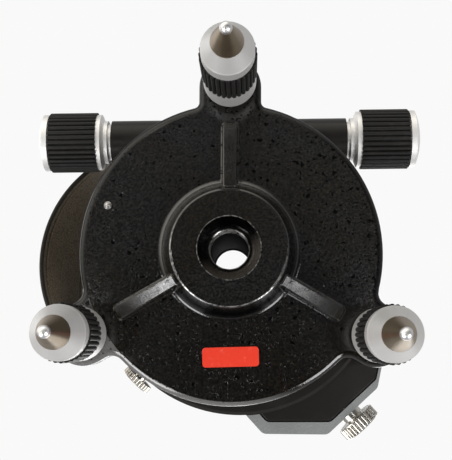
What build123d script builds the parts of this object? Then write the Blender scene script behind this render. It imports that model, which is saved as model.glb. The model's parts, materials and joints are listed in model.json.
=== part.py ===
from build123d import *
from math import atan2, cos, degrees, hypot, pi, radians, sin, sqrt
import os

os.makedirs("parts", exist_ok=True)

# Laser level on a three-screw levelling base. Millimetres, +Z up, with the drive tube at
# -Y. Heights count from the boss datum, and each saved piece is lowered by THREAD_Z, so
# that the origin lies on the vertical axis where the tripod thread begins.

# Base casting
THREAD_R = 6.9
THREAD_Z = 4.3
THREAD_MOUTH_R = 8.0
MOUTH_Z = 3.6
BUSH_R = 11.0
BUSH_TOP_Z = 16.5
SINK_R = 11.0
BOSS_FACE_Z = -2.2
BOSS_FACE_R = 20.5
BOSS_BASE_R = 23.9
PLATE_Z = 6.6
PLATE_TOP_Z = 18.8
RIM_R = 53.5
RIM_XY = (0.4, 0.7)
RIM_ROUND = 2.6
EAR_R = 11.1
EAR_BLEND = 4.5
FRONT_EAR_BLEND = 2.2
RIB_BASE_W = 5.6
RIB_DRAFT = 5.0
RIB_START_R = 16.0
RIB_END_R = 45.2
RIB_HEIGHT_IN = 6.2
RIB_HEIGHT_OUT = 3.2
RIB_CREST = 0.6
RIB_BLEND = 0.7
RIB_CORNER = 1.5
BOSS_COVE = 2.2
PIN_XY = (-43.0, -15.7)
PIN_R = 1.4
LABEL_XY = (0.6, 37.2)
LABEL_SIZE = (19.6, 6.8)
LABEL_TURN = -1.8

# Foot screws
FOOT_CIRCLE_R = 59.0
FOOT_SIDES = {"front": -90.0, "right": 30.0, "left": 150.0}
FOOT_BUSH_R = 5.6
FOOT_STEM_R = 3.0
FOOT_STEM_TOP_Z = 18.0
COLLAR_R = 9.3
COLLAR_TOP_Z = 1.0
COLLAR_Z = -11.7
FOOT_GRIP_R = 9.45
FOOT_CORE_R = 7.4
CAP_R = 8.72
CAP_TOP_Z = -32.2
CAP_EDGE_Z = -38.6
SHOULDER_Z = -45.4
CONE_R = 5.2
SHANK_R = 2.5
TIP_Z = -59.1
TIP_R = 1.95
CONE_LEAN = 14.49
FOOT_RIBS = 32

# Vertical axis
SPINDLE_BORE_R = 8.2
FLANGE_R = 30.5
FLANGE_TOP_Z = 23.8
AXIS_LOW_R = 13.0
AXIS_TOP_R = 12.0
WHEEL_SEAT_R = 12.5
WHEEL_SEAT_Z = 33.8
SPINDLE_TOP_Z = 90.0
SPINDLE_SCREW_R = 23.5
RUNNING = 0.05
RING_R = 54.4
RING_Z = 19.1
RING_TOP_Z = 27.1
RING_NOTCHES = 108

# Slow-motion drive
DRIVE_Z = 35.8
MODULE = 1.0
WHEEL_TEETH = 81
WHEEL_R = MODULE * WHEEL_TEETH / 2
WORM_R = 4.2
DRIVE_TILT = -0.74
DRIVE_SHIFT = -0.37
WORM_ROOT_R = 3.0
WORM_TIP_R = 5.1
WORM_TURNS = 6
WORM_PITCH = MODULE * pi
SHAFT_R = 3.5
TUBE_R = 8.2
TUBE_BORE_R = 5.8
TUBE_HALF = 44.6
KNOB_IN_X = 44.9
GRIP_IN_X = 50.15
GRIP_OUT_X = 68.0
CAP_IN_X = 68.5
CAP_RIM_X = 70.7
KNOB_END_X = 72.75
KNOB_CORE_R = 9.2
KNOB_GRIP_R = 11.4
KNOB_RIBS = 36

# Head housing, centred behind and to the right of the vertical axis
HEAD_XY = (3.3, 6.6)
HEAD_R = 52.0
HEAD_Z = 27.8
FLOOR_Z = 30.8
DRUM_TOP_Z = 58.0
SPIGOT_TOP_Z = 63.0
SPIGOT_R = 49.3
DRUM_BORE_R = 46.9
SKIRT_BORE_R = 49.4
DECK_Z = 83.0
DECK_TOP_Z = 86.0
HUB_LOW_R = 19.0
HUB_LOW_Z = 25.3
HUB_TOP_R = 17.0
HUB_TOP_Z = 66.0
LOW_BUSH_R = 16.0
TOP_BUSH_R = 14.5
PLATE_LOW_Z = 56.0
POST_R = 3.5
POST_CIRCLE_R = 40.0
POST_ANGLES = (35, 145, 215, 325)
SKIRT_SCREW_ANGLES = (0, 100, 180, 252, 306)
SKIRT_SCREW_Z = 60.5

# Battery box, square to a radius of the head
BOX_ANGLE = 47.2
BOX_Z = 31.8
BOX_TOP_Z = 67.4
BOX_XY = (0.0, 6.5)
LID_OUTLINE = [(38, -31.3), (53.7, -31.3), (67.8, -11.4), (67.8, 13.8), (51.6, 31.2), (38, 31.2)]
BOX_OUTLINE = [(38, -30), (53.1, -30), (65, -13.1), (65, 9.8), (49.3, 27), (38, 27)]
LID_ROUND = 3.0
BOX_ROUND = 2.4
LID_GAP = 0.3
CELL_R = 12.25
CELL_T = 3.0
CELL_Z = 53.0
CELL_U = 55.2
CELL_V = -1.6
SCREW_V = 2.2
SCREW_Z = 36.8
SCREW_HEAD_R = 7.6
CLAMP_ANGLE = 133.9
CLAMP_HEAD_R = 6.0
CLAMP_Z = 36.8

# Hand strap
STRAP_Z = 48.8
STRAP_TOP_Z = 71.8
STRAP_T = 2.0
STRAP_CENTRE = (-28.4, 1.5)
STRAP_R = 47.0
STRAP_END_R = 16.0
STRAP_TURN_REAR = 157.0
STRAP_TURN_FRONT = 236.0
STRAP_LAST_REAR = 70.0
STRAP_LAST_FRONT = 310.0
STRAP_TOP_REACH = 0.6

# Rotor, lantern and controls
ROTOR_Y = 37.0
ROTOR_SHAFT_R = 4.95
BEAM_R = 3.2
BEARING_R = 8.0
BEARING_SLEEVE_R = 9.8
ROTOR_HEAD_R = 10.5
PRISM_HALF = 7.0
LANTERN_R = 17.0
GLASS_R = 15.0
GLASS_WALL = 1.5
GLASS_Z = 90.0
GLASS_TOP_Z = 122.5
LANTERN_TOP_Z = 132.5
MOTOR_XY = (25.0, 16.0)
PULLEY_Z = 59.0
ROTOR_PULLEY_R = 7.2
MOTOR_PULLEY_R = 4.0
BUTTON_R = 4.5
BUTTON_XY = {"power_button": (-8.0, -28.0), "speed_button": (8.0, -28.0)}
LAMP_XY = (0.0, -35.0)
BOARD_Z = 74.0
VIAL_XY = (-30.0, 2.0)


def save(builder, label):
    """Lower a finished piece to its place, label it and write it out."""
    piece = builder.part.moved(Location((0, 0, -THREAD_Z)))
    piece.label = label
    export_step(piece, f"parts/{label}.step")


def turn(outline, origin=(0, 0, 0), axis=(0, 0, 1), mode=Mode.ADD, domed=False):
    """Revolve (radius, distance) points round an axis; a domed end runs to the first point."""
    across = Plane(origin=origin, z_dir=axis)
    section = Plane(origin=origin, x_dir=across.x_dir, z_dir=across.y_dir * -1)
    with BuildSketch(section) as face:
        with BuildLine():
            Polyline(*outline, close=not domed)
            if domed:
                (edge, low), top = outline[-1], outline[0][1]
                bend = (edge ** 2 + (top - low) ** 2) / (2 * (top - low))
                crown = (edge / 2, top - bend + sqrt(bend ** 2 - edge ** 2 / 4))
                ThreePointArc(outline[-1], crown, outline[0])
        make_face()
    revolve(face.sketch, axis=Axis(origin, axis), mode=mode)


def ring(outer, inner, start, end, origin=(0, 0, 0), axis=(0, 0, 1), mode=Mode.ADD):
    """A plain ring, or a disc where inner is 0."""
    turn([(inner, start), (outer, start), (outer, end), (inner, end)], origin, axis, mode)


def ribbed(plane, outer, inner, length, count, rib):
    """A sleeve with round ribs along its outside."""
    with BuildSketch(plane) as face:
        Circle(outer - 1.25 * rib)
        with PolarLocations(outer - rib, count):
            Circle(rib)
        if inner > 0:
            Circle(inner, mode=Mode.SUBTRACT)
    extrude(face.sketch, amount=length)


def polar(radius, angle, centre=(0, 0)):
    """Plan point at a radius and an angle in degrees."""
    return (centre[0] + radius * cos(radians(angle)), centre[1] + radius * sin(radians(angle)))


FOOT_XY = {side: polar(FOOT_CIRCLE_R, angle) for side, angle in FOOT_SIDES.items()}
HEAD_C = (*HEAD_XY, 0)
ROTOR_C = (0, ROTOR_Y, 0)

# Base casting: plate with three ears, tapered boss and three ribs
with BuildPart() as rib:
    with BuildSketch(Plane.XY.offset(PLATE_Z + 0.5)):
        with Locations(((RIB_START_R + RIB_END_R) / 2, 0)):
            RectangleRounded(RIB_END_R - RIB_START_R, RIB_BASE_W, RIB_CORNER)
    extrude(amount=RIB_HEIGHT_IN + 2.0, dir=(0, 0, -1), taper=RIB_DRAFT)
    with BuildSketch(Plane.XZ):
        with BuildLine():
            Polyline(
                (RIB_START_R - 1, PLATE_Z - RIB_HEIGHT_IN - 0.5),
                (RIB_END_R - 2.5, PLATE_Z - RIB_HEIGHT_OUT),
                (RIB_END_R + 2, PLATE_Z - RIB_HEIGHT_OUT + 3.5),
                (RIB_END_R + 2, PLATE_Z - 12),
                (RIB_START_R - 1, PLATE_Z - 12),
                close=True,
            )
        make_face()
    extrude(amount=RIB_BASE_W, both=True, mode=Mode.SUBTRACT)
    crest = [f for f in rib.faces() if f.normal_at().Z < -0.5]
    fillet([e for f in crest for e in f.edges()], RIB_CREST)

with BuildPart() as base_casting:
    with BuildSketch(Plane.XY.offset(PLATE_Z)) as plate_outline:
        with Locations(RIM_XY):
            Circle(RIM_R)
        with PolarLocations(FOOT_CIRCLE_R, 3, start_angle=-90):
            Circle(EAR_R)
        with PolarLocations(FOOT_CIRCLE_R / 2, 3, start_angle=-90):
            Rectangle(FOOT_CIRCLE_R, 2 * EAR_R)
        for front, blend in ((False, EAR_BLEND), (True, FRONT_EAR_BLEND)):
            fillet([
                v for v in plate_outline.vertices()
                if (v.Y < -40) == front and abs(hypot(v.X - RIM_XY[0], v.Y - RIM_XY[1]) - RIM_R) < 0.05
            ], blend)
    extrude(amount=PLATE_TOP_Z - PLATE_Z)
    fillet(base_casting.faces().sort_by(Axis.Z)[0].outer_wire().edges(), RIM_ROUND)
    turn([(0, PLATE_Z + 1), (BOSS_BASE_R, PLATE_Z + 1), (BOSS_BASE_R, PLATE_Z),
          (BOSS_FACE_R, BOSS_FACE_Z), (0, BOSS_FACE_Z)])
    boss_rim = base_casting.edges().filter_by(GeomType.CIRCLE).sort_by(Axis.Z)[0]
    fillet(boss_rim, 1.2)
    circles = base_casting.edges().filter_by(GeomType.CIRCLE)
    fillet([e for e in circles if abs(e.radius - BOSS_BASE_R) < 0.01], BOSS_COVE)
    with PolarLocations(0, 3, start_angle=-90):
        add(rib.part)
    foot_edges = [
        e for e in base_casting.edges()
        if any(abs(v.Z - PLATE_Z) < 0.01 and 30 < hypot(v.X, v.Y) < RIB_END_R + 1 for v in e.vertices())
    ]
    fillet(foot_edges, RIB_BLEND)
    sink_slope = (SINK_R - THREAD_MOUTH_R) / (MOUTH_Z - BOSS_FACE_Z)
    turn([(0, BOSS_FACE_Z - 1), (SINK_R + sink_slope, BOSS_FACE_Z - 1), (THREAD_MOUTH_R, MOUTH_Z),
          (BUSH_R, MOUTH_Z), (BUSH_R, BUSH_TOP_Z), (0, BUSH_TOP_Z)], mode=Mode.SUBTRACT)
    ring(BUSH_R + 3, 0, BUSH_TOP_Z, PLATE_TOP_Z + 1, mode=Mode.SUBTRACT)
    for x, y in FOOT_XY.values():
        ring(FOOT_BUSH_R, 0, PLATE_Z - 1, PLATE_TOP_Z + 1, (x, y, 0), mode=Mode.SUBTRACT)
    for angle in (45, 135, 225, 315):
        x, y = polar(SPINDLE_SCREW_R, angle)
        ring(2.05, 0, PLATE_TOP_Z - 9, PLATE_TOP_Z + 1, (x, y, 0), mode=Mode.SUBTRACT)
    ring(PIN_R, 0, PLATE_Z - 1, PLATE_Z + 4, (*PIN_XY, 0), mode=Mode.SUBTRACT)
save(base_casting, "base_casting")

with BuildPart() as thread_bush:
    turn([(THREAD_MOUTH_R, MOUTH_Z), (BUSH_R, MOUTH_Z), (BUSH_R, BUSH_TOP_Z),
          (THREAD_R, BUSH_TOP_Z), (THREAD_R, THREAD_Z)])
save(thread_bush, "thread_bush")

with BuildPart() as index_pin:
    turn([(0, PLATE_Z - 0.9), (PIN_R * 0.6, PLATE_Z - 0.7), (PIN_R, PLATE_Z),
          (PIN_R, PLATE_Z + 4), (0, PLATE_Z + 4)], (*PIN_XY, 0))
save(index_pin, "index_pin")

with BuildPart() as blank_label:
    with BuildSketch(Plane.XY.offset(PLATE_Z)):
        with Locations(Location((*LABEL_XY, 0), (0, 0, LABEL_TURN))):
            RectangleRounded(*LABEL_SIZE, 1.2)
    extrude(amount=-0.25)
save(blank_label, "blank_label")

with BuildPart() as foot_bushes:
    for x, y in FOOT_XY.values():
        turn([(FOOT_STEM_R + RUNNING, PLATE_Z - 0.6), (FOOT_BUSH_R, PLATE_Z - 0.6),
              (FOOT_BUSH_R, PLATE_TOP_Z), (FOOT_STEM_R + RUNNING, PLATE_TOP_Z)], (x, y, 0))
save(foot_bushes, "foot_bushes")

# Foot screws: a point that only slides, and a screw with a grip that turns on it
for side, (x, y) in FOOT_XY.items():
    here = (x, y, 0)
    with BuildPart() as foot_point:
        neck_z = TIP_Z + TIP_R * sin(radians(CONE_LEAN))
        turn([(0, SHOULDER_Z + 15), (SHANK_R, SHOULDER_Z + 15), (SHANK_R, SHOULDER_Z),
              (CONE_R, SHOULDER_Z), (CONE_R, SHOULDER_Z - 0.4),
              (TIP_R * cos(radians(CONE_LEAN)), neck_z), (0, neck_z)], here)
        with Locations((x, y, TIP_Z)):
            Sphere(TIP_R)
    save(foot_point, f"foot_point_{side}")

    with BuildPart() as foot_screw:
        bore = SHANK_R + RUNNING
        turn([(bore, SHOULDER_Z), (CONE_R + 0.15, SHOULDER_Z), (CAP_R - 0.3, CAP_EDGE_Z - 0.2),
              (CAP_R, CAP_EDGE_Z + 0.3), (CAP_R, CAP_TOP_Z),
              (FOOT_CORE_R, CAP_TOP_Z), (FOOT_CORE_R, COLLAR_Z), (COLLAR_R, COLLAR_Z),
              (COLLAR_R, COLLAR_TOP_Z - 0.5), (COLLAR_R - 0.5, COLLAR_TOP_Z),
              (FOOT_STEM_R, COLLAR_TOP_Z), (FOOT_STEM_R, FOOT_STEM_TOP_Z - 0.6),
              (FOOT_STEM_R - 0.6, FOOT_STEM_TOP_Z), (0, FOOT_STEM_TOP_Z),
              (0, SHOULDER_Z + 15.5), (bore, SHOULDER_Z + 15.5)], here)
    save(foot_screw, f"foot_screw_{side}")

    with BuildPart() as foot_grip:
        ribbed(Plane((x, y, CAP_TOP_Z)), FOOT_GRIP_R, FOOT_CORE_R, COLLAR_Z - CAP_TOP_Z, FOOT_RIBS, 0.75)
    save(foot_grip, f"foot_grip_{side}")

# Vertical axis, fixed to the base
with BuildPart() as spindle:
    turn([(SPINDLE_BORE_R, BUSH_TOP_Z), (BUSH_R + 3, BUSH_TOP_Z), (BUSH_R + 3, PLATE_TOP_Z),
          (FLANGE_R, PLATE_TOP_Z), (FLANGE_R, FLANGE_TOP_Z), (AXIS_LOW_R, FLANGE_TOP_Z),
          (AXIS_LOW_R, WHEEL_SEAT_Z), (WHEEL_SEAT_R, WHEEL_SEAT_Z), (WHEEL_SEAT_R, 44),
          (AXIS_TOP_R, 44), (AXIS_TOP_R, SPINDLE_TOP_Z), (SPINDLE_BORE_R, SPINDLE_TOP_Z)])
    for angle in (45, 135, 225, 315):
        x, y = polar(SPINDLE_SCREW_R, angle)
        ring(2.2, 0, PLATE_TOP_Z - 1, FLANGE_TOP_Z, (x, y, 0), mode=Mode.SUBTRACT)
        ring(3.7, 0, FLANGE_TOP_Z - 3.2, FLANGE_TOP_Z + 1, (x, y, 0), mode=Mode.SUBTRACT)
save(spindle, "spindle")

with BuildPart() as spindle_screws:
    for angle in (45, 135, 225, 315):
        x, y = polar(SPINDLE_SCREW_R, angle)
        ring(3.5, 0, FLANGE_TOP_Z - 3.2, FLANGE_TOP_Z - 0.3, (x, y, 0))
        ring(2.0, 0, PLATE_TOP_Z - 8, FLANGE_TOP_Z - 3, (x, y, 0))
        ring(1.5, 0, FLANGE_TOP_Z - 2, FLANGE_TOP_Z, (x, y, 0), mode=Mode.SUBTRACT)
save(spindle_screws, "spindle_screws")

with BuildPart() as spindle_nut:
    turn([(AXIS_TOP_R, DECK_TOP_Z + 0.8), (15.5, DECK_TOP_Z + 0.8), (15.5, SPINDLE_TOP_Z),
          (14.5, SPINDLE_TOP_Z + 1.2), (7.6, SPINDLE_TOP_Z + 1.2), (7.6, SPINDLE_TOP_Z),
          (AXIS_TOP_R, SPINDLE_TOP_Z)])
    for angle in (0, 90, 180, 270):
        x, y = polar(13.2, angle)
        ring(1.0, 0, SPINDLE_TOP_Z - 1, SPINDLE_TOP_Z + 2, (x, y, 0), mode=Mode.SUBTRACT)
save(spindle_nut, "spindle_nut")

with BuildPart() as worm_wheel:
    with BuildSketch(Plane.XY.offset(DRIVE_Z - 1.5)):
        Circle(WHEEL_R - 1.25 * MODULE)
        with PolarLocations(0, WHEEL_TEETH, start_angle=-90 + DRIVE_TILT + 180 / WHEEL_TEETH):
            Polygon((WHEEL_R - 1.6, -0.8), (WHEEL_R + MODULE, -0.35), (WHEEL_R + MODULE, 0.35),
                    (WHEEL_R - 1.6, 0.8), align=None)
        with PolarLocations(28.5, 6):
            Circle(6.5, mode=Mode.SUBTRACT)
    extrude(amount=3)
    ring(18, 0, WHEEL_SEAT_Z, DRIVE_Z + 2.7)
    ring(WHEEL_SEAT_R + RUNNING, 0, WHEEL_SEAT_Z - 1, DRIVE_Z + 4, mode=Mode.SUBTRACT)
save(worm_wheel, "worm_wheel")

with BuildPart() as clutch_spring:
    turn([(WHEEL_SEAT_R + 0.2, DRIVE_Z + 3.3), (17.4, DRIVE_Z + 2.7),
          (17.4, DRIVE_Z + 3.3), (WHEEL_SEAT_R + 0.2, DRIVE_Z + 3.9)])
save(clutch_spring, "clutch_spring")

with BuildPart() as clutch_nut:
    turn([(WHEEL_SEAT_R, DRIVE_Z + 3.9), (18, DRIVE_Z + 3.9), (18, DRIVE_Z + 7.6),
          (17.4, DRIVE_Z + 8.2), (WHEEL_SEAT_R, DRIVE_Z + 8.2)])
    with PolarLocations(18, 4):
        with Locations((0, 0, DRIVE_Z + 6)):
            Box(4, 4, 6, mode=Mode.SUBTRACT)
save(clutch_nut, "clutch_nut")

# Knurled circle ring, free on the spindle flange
with BuildPart() as circle_ring:
    with BuildSketch(Plane.XY.offset(RING_Z)):
        Circle(RING_R)
        with PolarLocations(RING_R + 0.55, RING_NOTCHES):
            Circle(1.15, mode=Mode.SUBTRACT)
    extrude(amount=5)
    turn([(0, RING_Z + 4), (RING_R - 0.9, RING_Z + 4), (RING_R - 0.9, RING_Z + 5.4),
          (RING_R - 2.6, RING_TOP_Z), (0, RING_TOP_Z)])
    ring(FLANGE_R + 0.06, 0, RING_Z - 1, RING_TOP_Z + 1, mode=Mode.SUBTRACT)
    ring(49.5, 0, RING_Z + 4, RING_TOP_Z + 1, mode=Mode.SUBTRACT)
save(circle_ring, "circle_ring")

# Rotating head
CLAMP_DIR = polar(1, CLAMP_ANGLE) + (0,)
CLAMP_C = (*HEAD_XY, CLAMP_Z)
DRIVE_DIR = polar(1, DRIVE_TILT) + (0,)
WORM_MIDDLE = polar(WHEEL_R + WORM_R, DRIVE_TILT - 90) + (DRIVE_Z,)


def on_drive(distance):
    """Point of the drive axis, that far to the right of the tube's middle."""
    return tuple(m + (DRIVE_SHIFT + distance) * d for m, d in zip(WORM_MIDDLE, DRIVE_DIR))


DRIVE_C = on_drive(0)

with BuildPart() as drum_housing:
    turn([(0, HEAD_Z), (HEAD_R - 1.2, HEAD_Z), (HEAD_R, HEAD_Z + 1.2), (HEAD_R, DRUM_TOP_Z),
          (SPIGOT_R, DRUM_TOP_Z), (SPIGOT_R, SPIGOT_TOP_Z), (DRUM_BORE_R, SPIGOT_TOP_Z),
          (DRUM_BORE_R, FLOOR_Z), (0, FLOOR_Z)], HEAD_C)
    ring(TUBE_R, 0, -TUBE_HALF, TUBE_HALF, DRIVE_C, DRIVE_DIR)
    ring(WHEEL_R + 2.4, 0, WHEEL_SEAT_Z - 0.5, SPIGOT_TOP_Z + 1, mode=Mode.SUBTRACT)
    ring(TUBE_BORE_R, 0, -TUBE_HALF - 1, TUBE_HALF + 1, DRIVE_C, DRIVE_DIR, Mode.SUBTRACT)
    ring(HUB_LOW_R, 0, HUB_LOW_Z, WHEEL_SEAT_Z - 0.8)
    ring(LOW_BUSH_R, 0, HUB_LOW_Z - 1, WHEEL_SEAT_Z, mode=Mode.SUBTRACT)
    ring(2.55, 0, 40, 60, CLAMP_C, CLAMP_DIR, Mode.SUBTRACT)
    for angle in SKIRT_SCREW_ANGLES:
        ring(1.25, 0, 45, 55, (*HEAD_XY, SKIRT_SCREW_Z), polar(1, angle) + (0,), Mode.SUBTRACT)
save(drum_housing, "drum_housing")

with BuildPart() as thrust_washer:
    ring(18.5, AXIS_LOW_R + 0.35, FLANGE_TOP_Z, HUB_LOW_Z)
save(thrust_washer, "thrust_washer")

with BuildPart() as axis_bushes:
    ring(LOW_BUSH_R, AXIS_LOW_R + RUNNING, HUB_LOW_Z, WHEEL_SEAT_Z - 0.8)
    ring(TOP_BUSH_R, AXIS_TOP_R + RUNNING, HUB_TOP_Z, DECK_TOP_Z - 1)
save(axis_bushes, "axis_bushes")

with BuildPart() as worm_bushes:
    for side in (-1, 1):
        outward = tuple(side * d for d in DRIVE_DIR)
        ring(TUBE_BORE_R, SHAFT_R + RUNNING, TUBE_HALF - 10, TUBE_HALF, DRIVE_C, outward)
save(worm_bushes, "worm_bushes")

with BuildPart() as chassis_plate:
    ring(DRUM_BORE_R - 0.4, 0, PLATE_LOW_Z, DRUM_TOP_Z, HEAD_C)
    ring(19.5, 0, PLATE_LOW_Z - 1, DRUM_TOP_Z + 1, mode=Mode.SUBTRACT)
    ring(7.05, 0, PLATE_LOW_Z - 1, DRUM_TOP_Z + 1, ROTOR_C, mode=Mode.SUBTRACT)
    ring(3.05, 0, PLATE_LOW_Z - 1, DRUM_TOP_Z + 1, (*MOTOR_XY, 0), mode=Mode.SUBTRACT)
    for angle in POST_ANGLES:
        x, y = polar(POST_CIRCLE_R, angle, HEAD_XY)
        ring(1.6, 0, PLATE_LOW_Z - 1, DRUM_TOP_Z + 1, (x, y, 0), mode=Mode.SUBTRACT)
save(chassis_plate, "chassis_plate")

with BuildPart() as top_housing:
    turn([(SKIRT_BORE_R, DRUM_TOP_Z), (HEAD_R, DRUM_TOP_Z), (HEAD_R, DECK_TOP_Z - 2.4),
          (HEAD_R - 2.4, DECK_TOP_Z), (0, DECK_TOP_Z), (0, DECK_Z), (SKIRT_BORE_R, DECK_Z)], HEAD_C)
    ring(HUB_TOP_R, 0, HUB_TOP_Z, DECK_Z + 1)
    ring(TOP_BUSH_R, 0, HUB_TOP_Z - 1, DECK_TOP_Z + 1, mode=Mode.SUBTRACT)
    for angle in POST_ANGLES:
        x, y = polar(POST_CIRCLE_R, angle, HEAD_XY)
        ring(POST_R, 0, DRUM_TOP_Z, DECK_Z + 1, (x, y, 0))
        ring(1.5, 0, DRUM_TOP_Z - 1, DRUM_TOP_Z + 9, (x, y, 0), mode=Mode.SUBTRACT)
    for x in (-15.5, 15.5):
        for y in (-33.5, -21.5):
            ring(2, 0, BOARD_Z + 1.6, DECK_Z + 1, (x, y, 0))
    ring(BEARING_SLEEVE_R + RUNNING, 0, DECK_Z - 1, DECK_TOP_Z + 1, ROTOR_C, mode=Mode.SUBTRACT)
    for x, y in BUTTON_XY.values():
        ring(BUTTON_R + 0.1, 0, DECK_Z - 1, DECK_TOP_Z + 1, (x, y, 0), mode=Mode.SUBTRACT)
    ring(2.05, 0, DECK_Z - 1, DECK_TOP_Z + 1, (*LAMP_XY, 0), mode=Mode.SUBTRACT)
    for angle in SKIRT_SCREW_ANGLES:
        turn([(0, 49), (1.35, 49), (1.35, 50.4), (2.4, HEAD_R), (2.4, 54), (0, 54)],
             (*HEAD_XY, SKIRT_SCREW_Z), polar(1, angle) + (0,), Mode.SUBTRACT)
save(top_housing, "top_housing")

with BuildPart() as housing_screws:
    for angle in SKIRT_SCREW_ANGLES:
        turn([(0, 45.5), (1.2, 45.5), (1.2, 50.4), (1.95, HEAD_R - 0.35), (0, HEAD_R - 0.35)],
             (*HEAD_XY, SKIRT_SCREW_Z), polar(1, angle) + (0,))
        x, y = polar(HEAD_R - 0.35, angle, HEAD_XY)
        with Locations(Location((x, y, SKIRT_SCREW_Z), (0, 0, angle))):
            Box(1.0, 0.6, 6, mode=Mode.SUBTRACT)
    for angle in POST_ANGLES:
        x, y = polar(POST_CIRCLE_R, angle, HEAD_XY)
        turn([(0, PLATE_LOW_Z - 1.6), (2.7, PLATE_LOW_Z - 1.6), (2.7, PLATE_LOW_Z),
              (1.45, PLATE_LOW_Z), (1.45, DRUM_TOP_Z + 8), (0, DRUM_TOP_Z + 8)], (x, y, 0))
save(housing_screws, "housing_screws")

# Worm shaft and its two ribbed knobs
WORM_LENGTH = WORM_TURNS * WORM_PITCH
WORM_FRAME = Plane(origin=on_drive(-DRIVE_SHIFT - WORM_LENGTH / 2), x_dir=polar(1, DRIVE_TILT + 90) + (0,),
                   z_dir=DRIVE_DIR)

with BuildPart() as worm_thread:
    with BuildLine() as thread_line:
        Helix(WORM_PITCH, WORM_LENGTH, WORM_R)
    with BuildSketch(Plane(origin=thread_line.line @ 0, x_dir=(1, 0, 0), z_dir=thread_line.line % 0)):
        with BuildLine():
            Polyline((WORM_ROOT_R - WORM_R - 0.15, -0.72), (WORM_TIP_R - WORM_R, -0.28),
                     (WORM_TIP_R - WORM_R, 0.28), (WORM_ROOT_R - WORM_R - 0.15, 0.72), close=True)
        make_face()
    sweep(path=thread_line.line, is_frenet=True)

with BuildPart() as worm_shaft:
    turn([(0, -GRIP_OUT_X), (SHAFT_R, -GRIP_OUT_X), (SHAFT_R, -14), (WORM_ROOT_R, -13),
          (WORM_ROOT_R, 13), (SHAFT_R, 14), (SHAFT_R, GRIP_OUT_X), (0, GRIP_OUT_X)],
         DRIVE_C, DRIVE_DIR)
    add(worm_thread.part.moved(WORM_FRAME.location))
save(worm_shaft, "worm_shaft")

for name, side in (("left", -1), ("right", 1)):
    outward = tuple(side * d for d in DRIVE_DIR)
    with BuildPart() as knob_core:
        turn([(0, KNOB_END_X), (0, GRIP_OUT_X), (SHAFT_R, GRIP_OUT_X), (SHAFT_R, KNOB_IN_X),
              (6.9, KNOB_IN_X), (6.9, 46.1), (8.2, 46.1), (8.2, 47.5), (10.6, 48.5), (10.6, GRIP_IN_X),
              (KNOB_CORE_R, GRIP_IN_X), (KNOB_CORE_R, CAP_IN_X), (10.8, CAP_IN_X), (10.8, CAP_RIM_X - 0.2),
              (10.5, CAP_RIM_X)], DRIVE_C, outward, domed=True)
    save(knob_core, f"knob_core_{name}")

    with BuildPart() as knob_grip:
        start = Plane(origin=on_drive(side * GRIP_IN_X), z_dir=outward)
        ribbed(start, KNOB_GRIP_R, KNOB_CORE_R, GRIP_OUT_X - GRIP_IN_X, KNOB_RIBS, 0.8)
    save(knob_grip, f"knob_grip_{name}")

# Battery box with its slide-off lid
BOX_DIR = polar(1, BOX_ANGLE) + (0,)


def box_plane(z):
    """Plane across the box at height z: x out along the box, y to its side."""
    return Plane(origin=(*BOX_XY, z), x_dir=BOX_DIR, z_dir=(0, 0, 1))


def box_point(u, v, z):
    """Point u out along the box and v to its side, at height z."""
    return tuple(box_plane(z).from_local_coords((u, v, 0)))


def box_face(outline, rounding, grow=0.0):
    """A face with the outline's outer corners rounded; grow sets it outside the outline."""
    with BuildSketch() as face:
        with BuildLine():
            Polyline(*outline, close=True)
        make_face()
        if grow:
            offset(amount=grow, kind=Kind.INTERSECTION)
        fillet([v for v in face.vertices() if v.X > 45], rounding)
    return face.sketch


with BuildPart() as battery_box:
    with BuildSketch(box_plane(BOX_Z)):
        add(box_face(BOX_OUTLINE, BOX_ROUND))
    extrude(amount=BOX_TOP_Z - BOX_Z)
    chamfer(battery_box.faces().sort_by(Axis.Z)[0].edges(), 0.7)
    ring(HEAD_R + RUNNING, 0, BOX_Z - 1, BOX_TOP_Z + 1, HEAD_C, mode=Mode.SUBTRACT)
    with BuildSketch(box_plane(CELL_Z - CELL_R - 0.4)):
        with Locations((CELL_U + 8, CELL_V)):
            Rectangle(16.4, 2 * CELL_R + 0.6)
    extrude(amount=2 * CELL_R + 0.8, mode=Mode.SUBTRACT)
    ring(1.95, 0, 52, 66, box_point(0, SCREW_V, SCREW_Z), BOX_DIR, Mode.SUBTRACT)
save(battery_box, "battery_box")

with BuildPart() as battery_cells:
    for i in range(2):
        inner = CELL_U + i * CELL_T
        turn([(0, inner), (CELL_R - 1.5, inner), (CELL_R - 1.5, inner + 0.5), (CELL_R, inner + 0.7),
              (CELL_R, inner + CELL_T - 0.05), (0, inner + CELL_T - 0.05)],
             box_point(0, CELL_V, CELL_Z), BOX_DIR)
save(battery_cells, "battery_cells")

with BuildPart() as battery_lid:
    with BuildSketch(box_plane(BOX_Z + 0.4)):
        add(box_face(LID_OUTLINE, LID_ROUND))
        add(box_face(BOX_OUTLINE, BOX_ROUND + LID_GAP, LID_GAP), mode=Mode.SUBTRACT)
    extrude(amount=BOX_TOP_Z - BOX_Z - 0.8)
    ring(HEAD_R + 0.35, 0, BOX_Z - 1, BOX_TOP_Z + 1, HEAD_C, mode=Mode.SUBTRACT)
    ring(2.2, 0, 60, 70, box_point(0, SCREW_V, SCREW_Z), BOX_DIR, Mode.SUBTRACT)
save(battery_lid, "battery_lid")

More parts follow.
